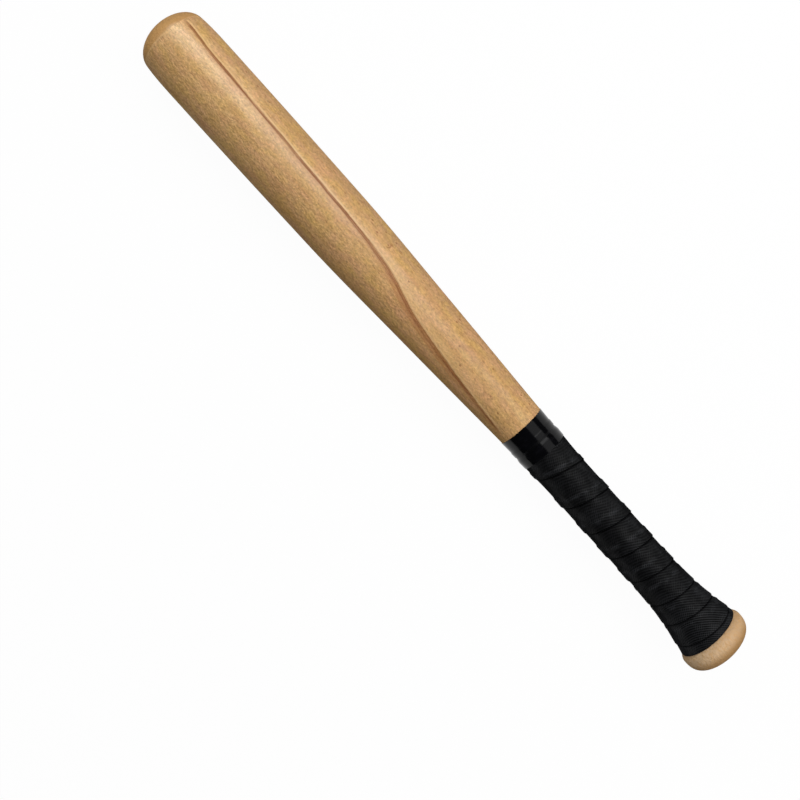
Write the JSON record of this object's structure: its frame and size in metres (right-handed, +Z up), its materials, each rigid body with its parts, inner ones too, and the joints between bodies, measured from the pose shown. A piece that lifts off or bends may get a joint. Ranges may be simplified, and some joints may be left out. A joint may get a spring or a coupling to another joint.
{
  "type": "baseball bat",
  "caption": "Short turned wooden bat with a long tapered barrel, a domed tip, a flared knob, a lapped black grip tape and a glossy finishing band.",
  "frame": {"origin": "centre of the small flat on the end of the knob", "axes": "+X along the turning axis from the knob to the tip of the barrel, +Z up as the bat lies on its side"},
  "size_m": [0.54, 0.0486, 0.0486],
  "materials": {
    "beech": "pale beech under satin varnish",
    "grip": "matte, fine mesh",
    "finishing_tape": "glossy"
  },
  "bodies": {
    "root": {"bat_body": "beech", "grip_tape": "grip", "finish_tape": "finishing_tape"}
  },
  "joints": []
}
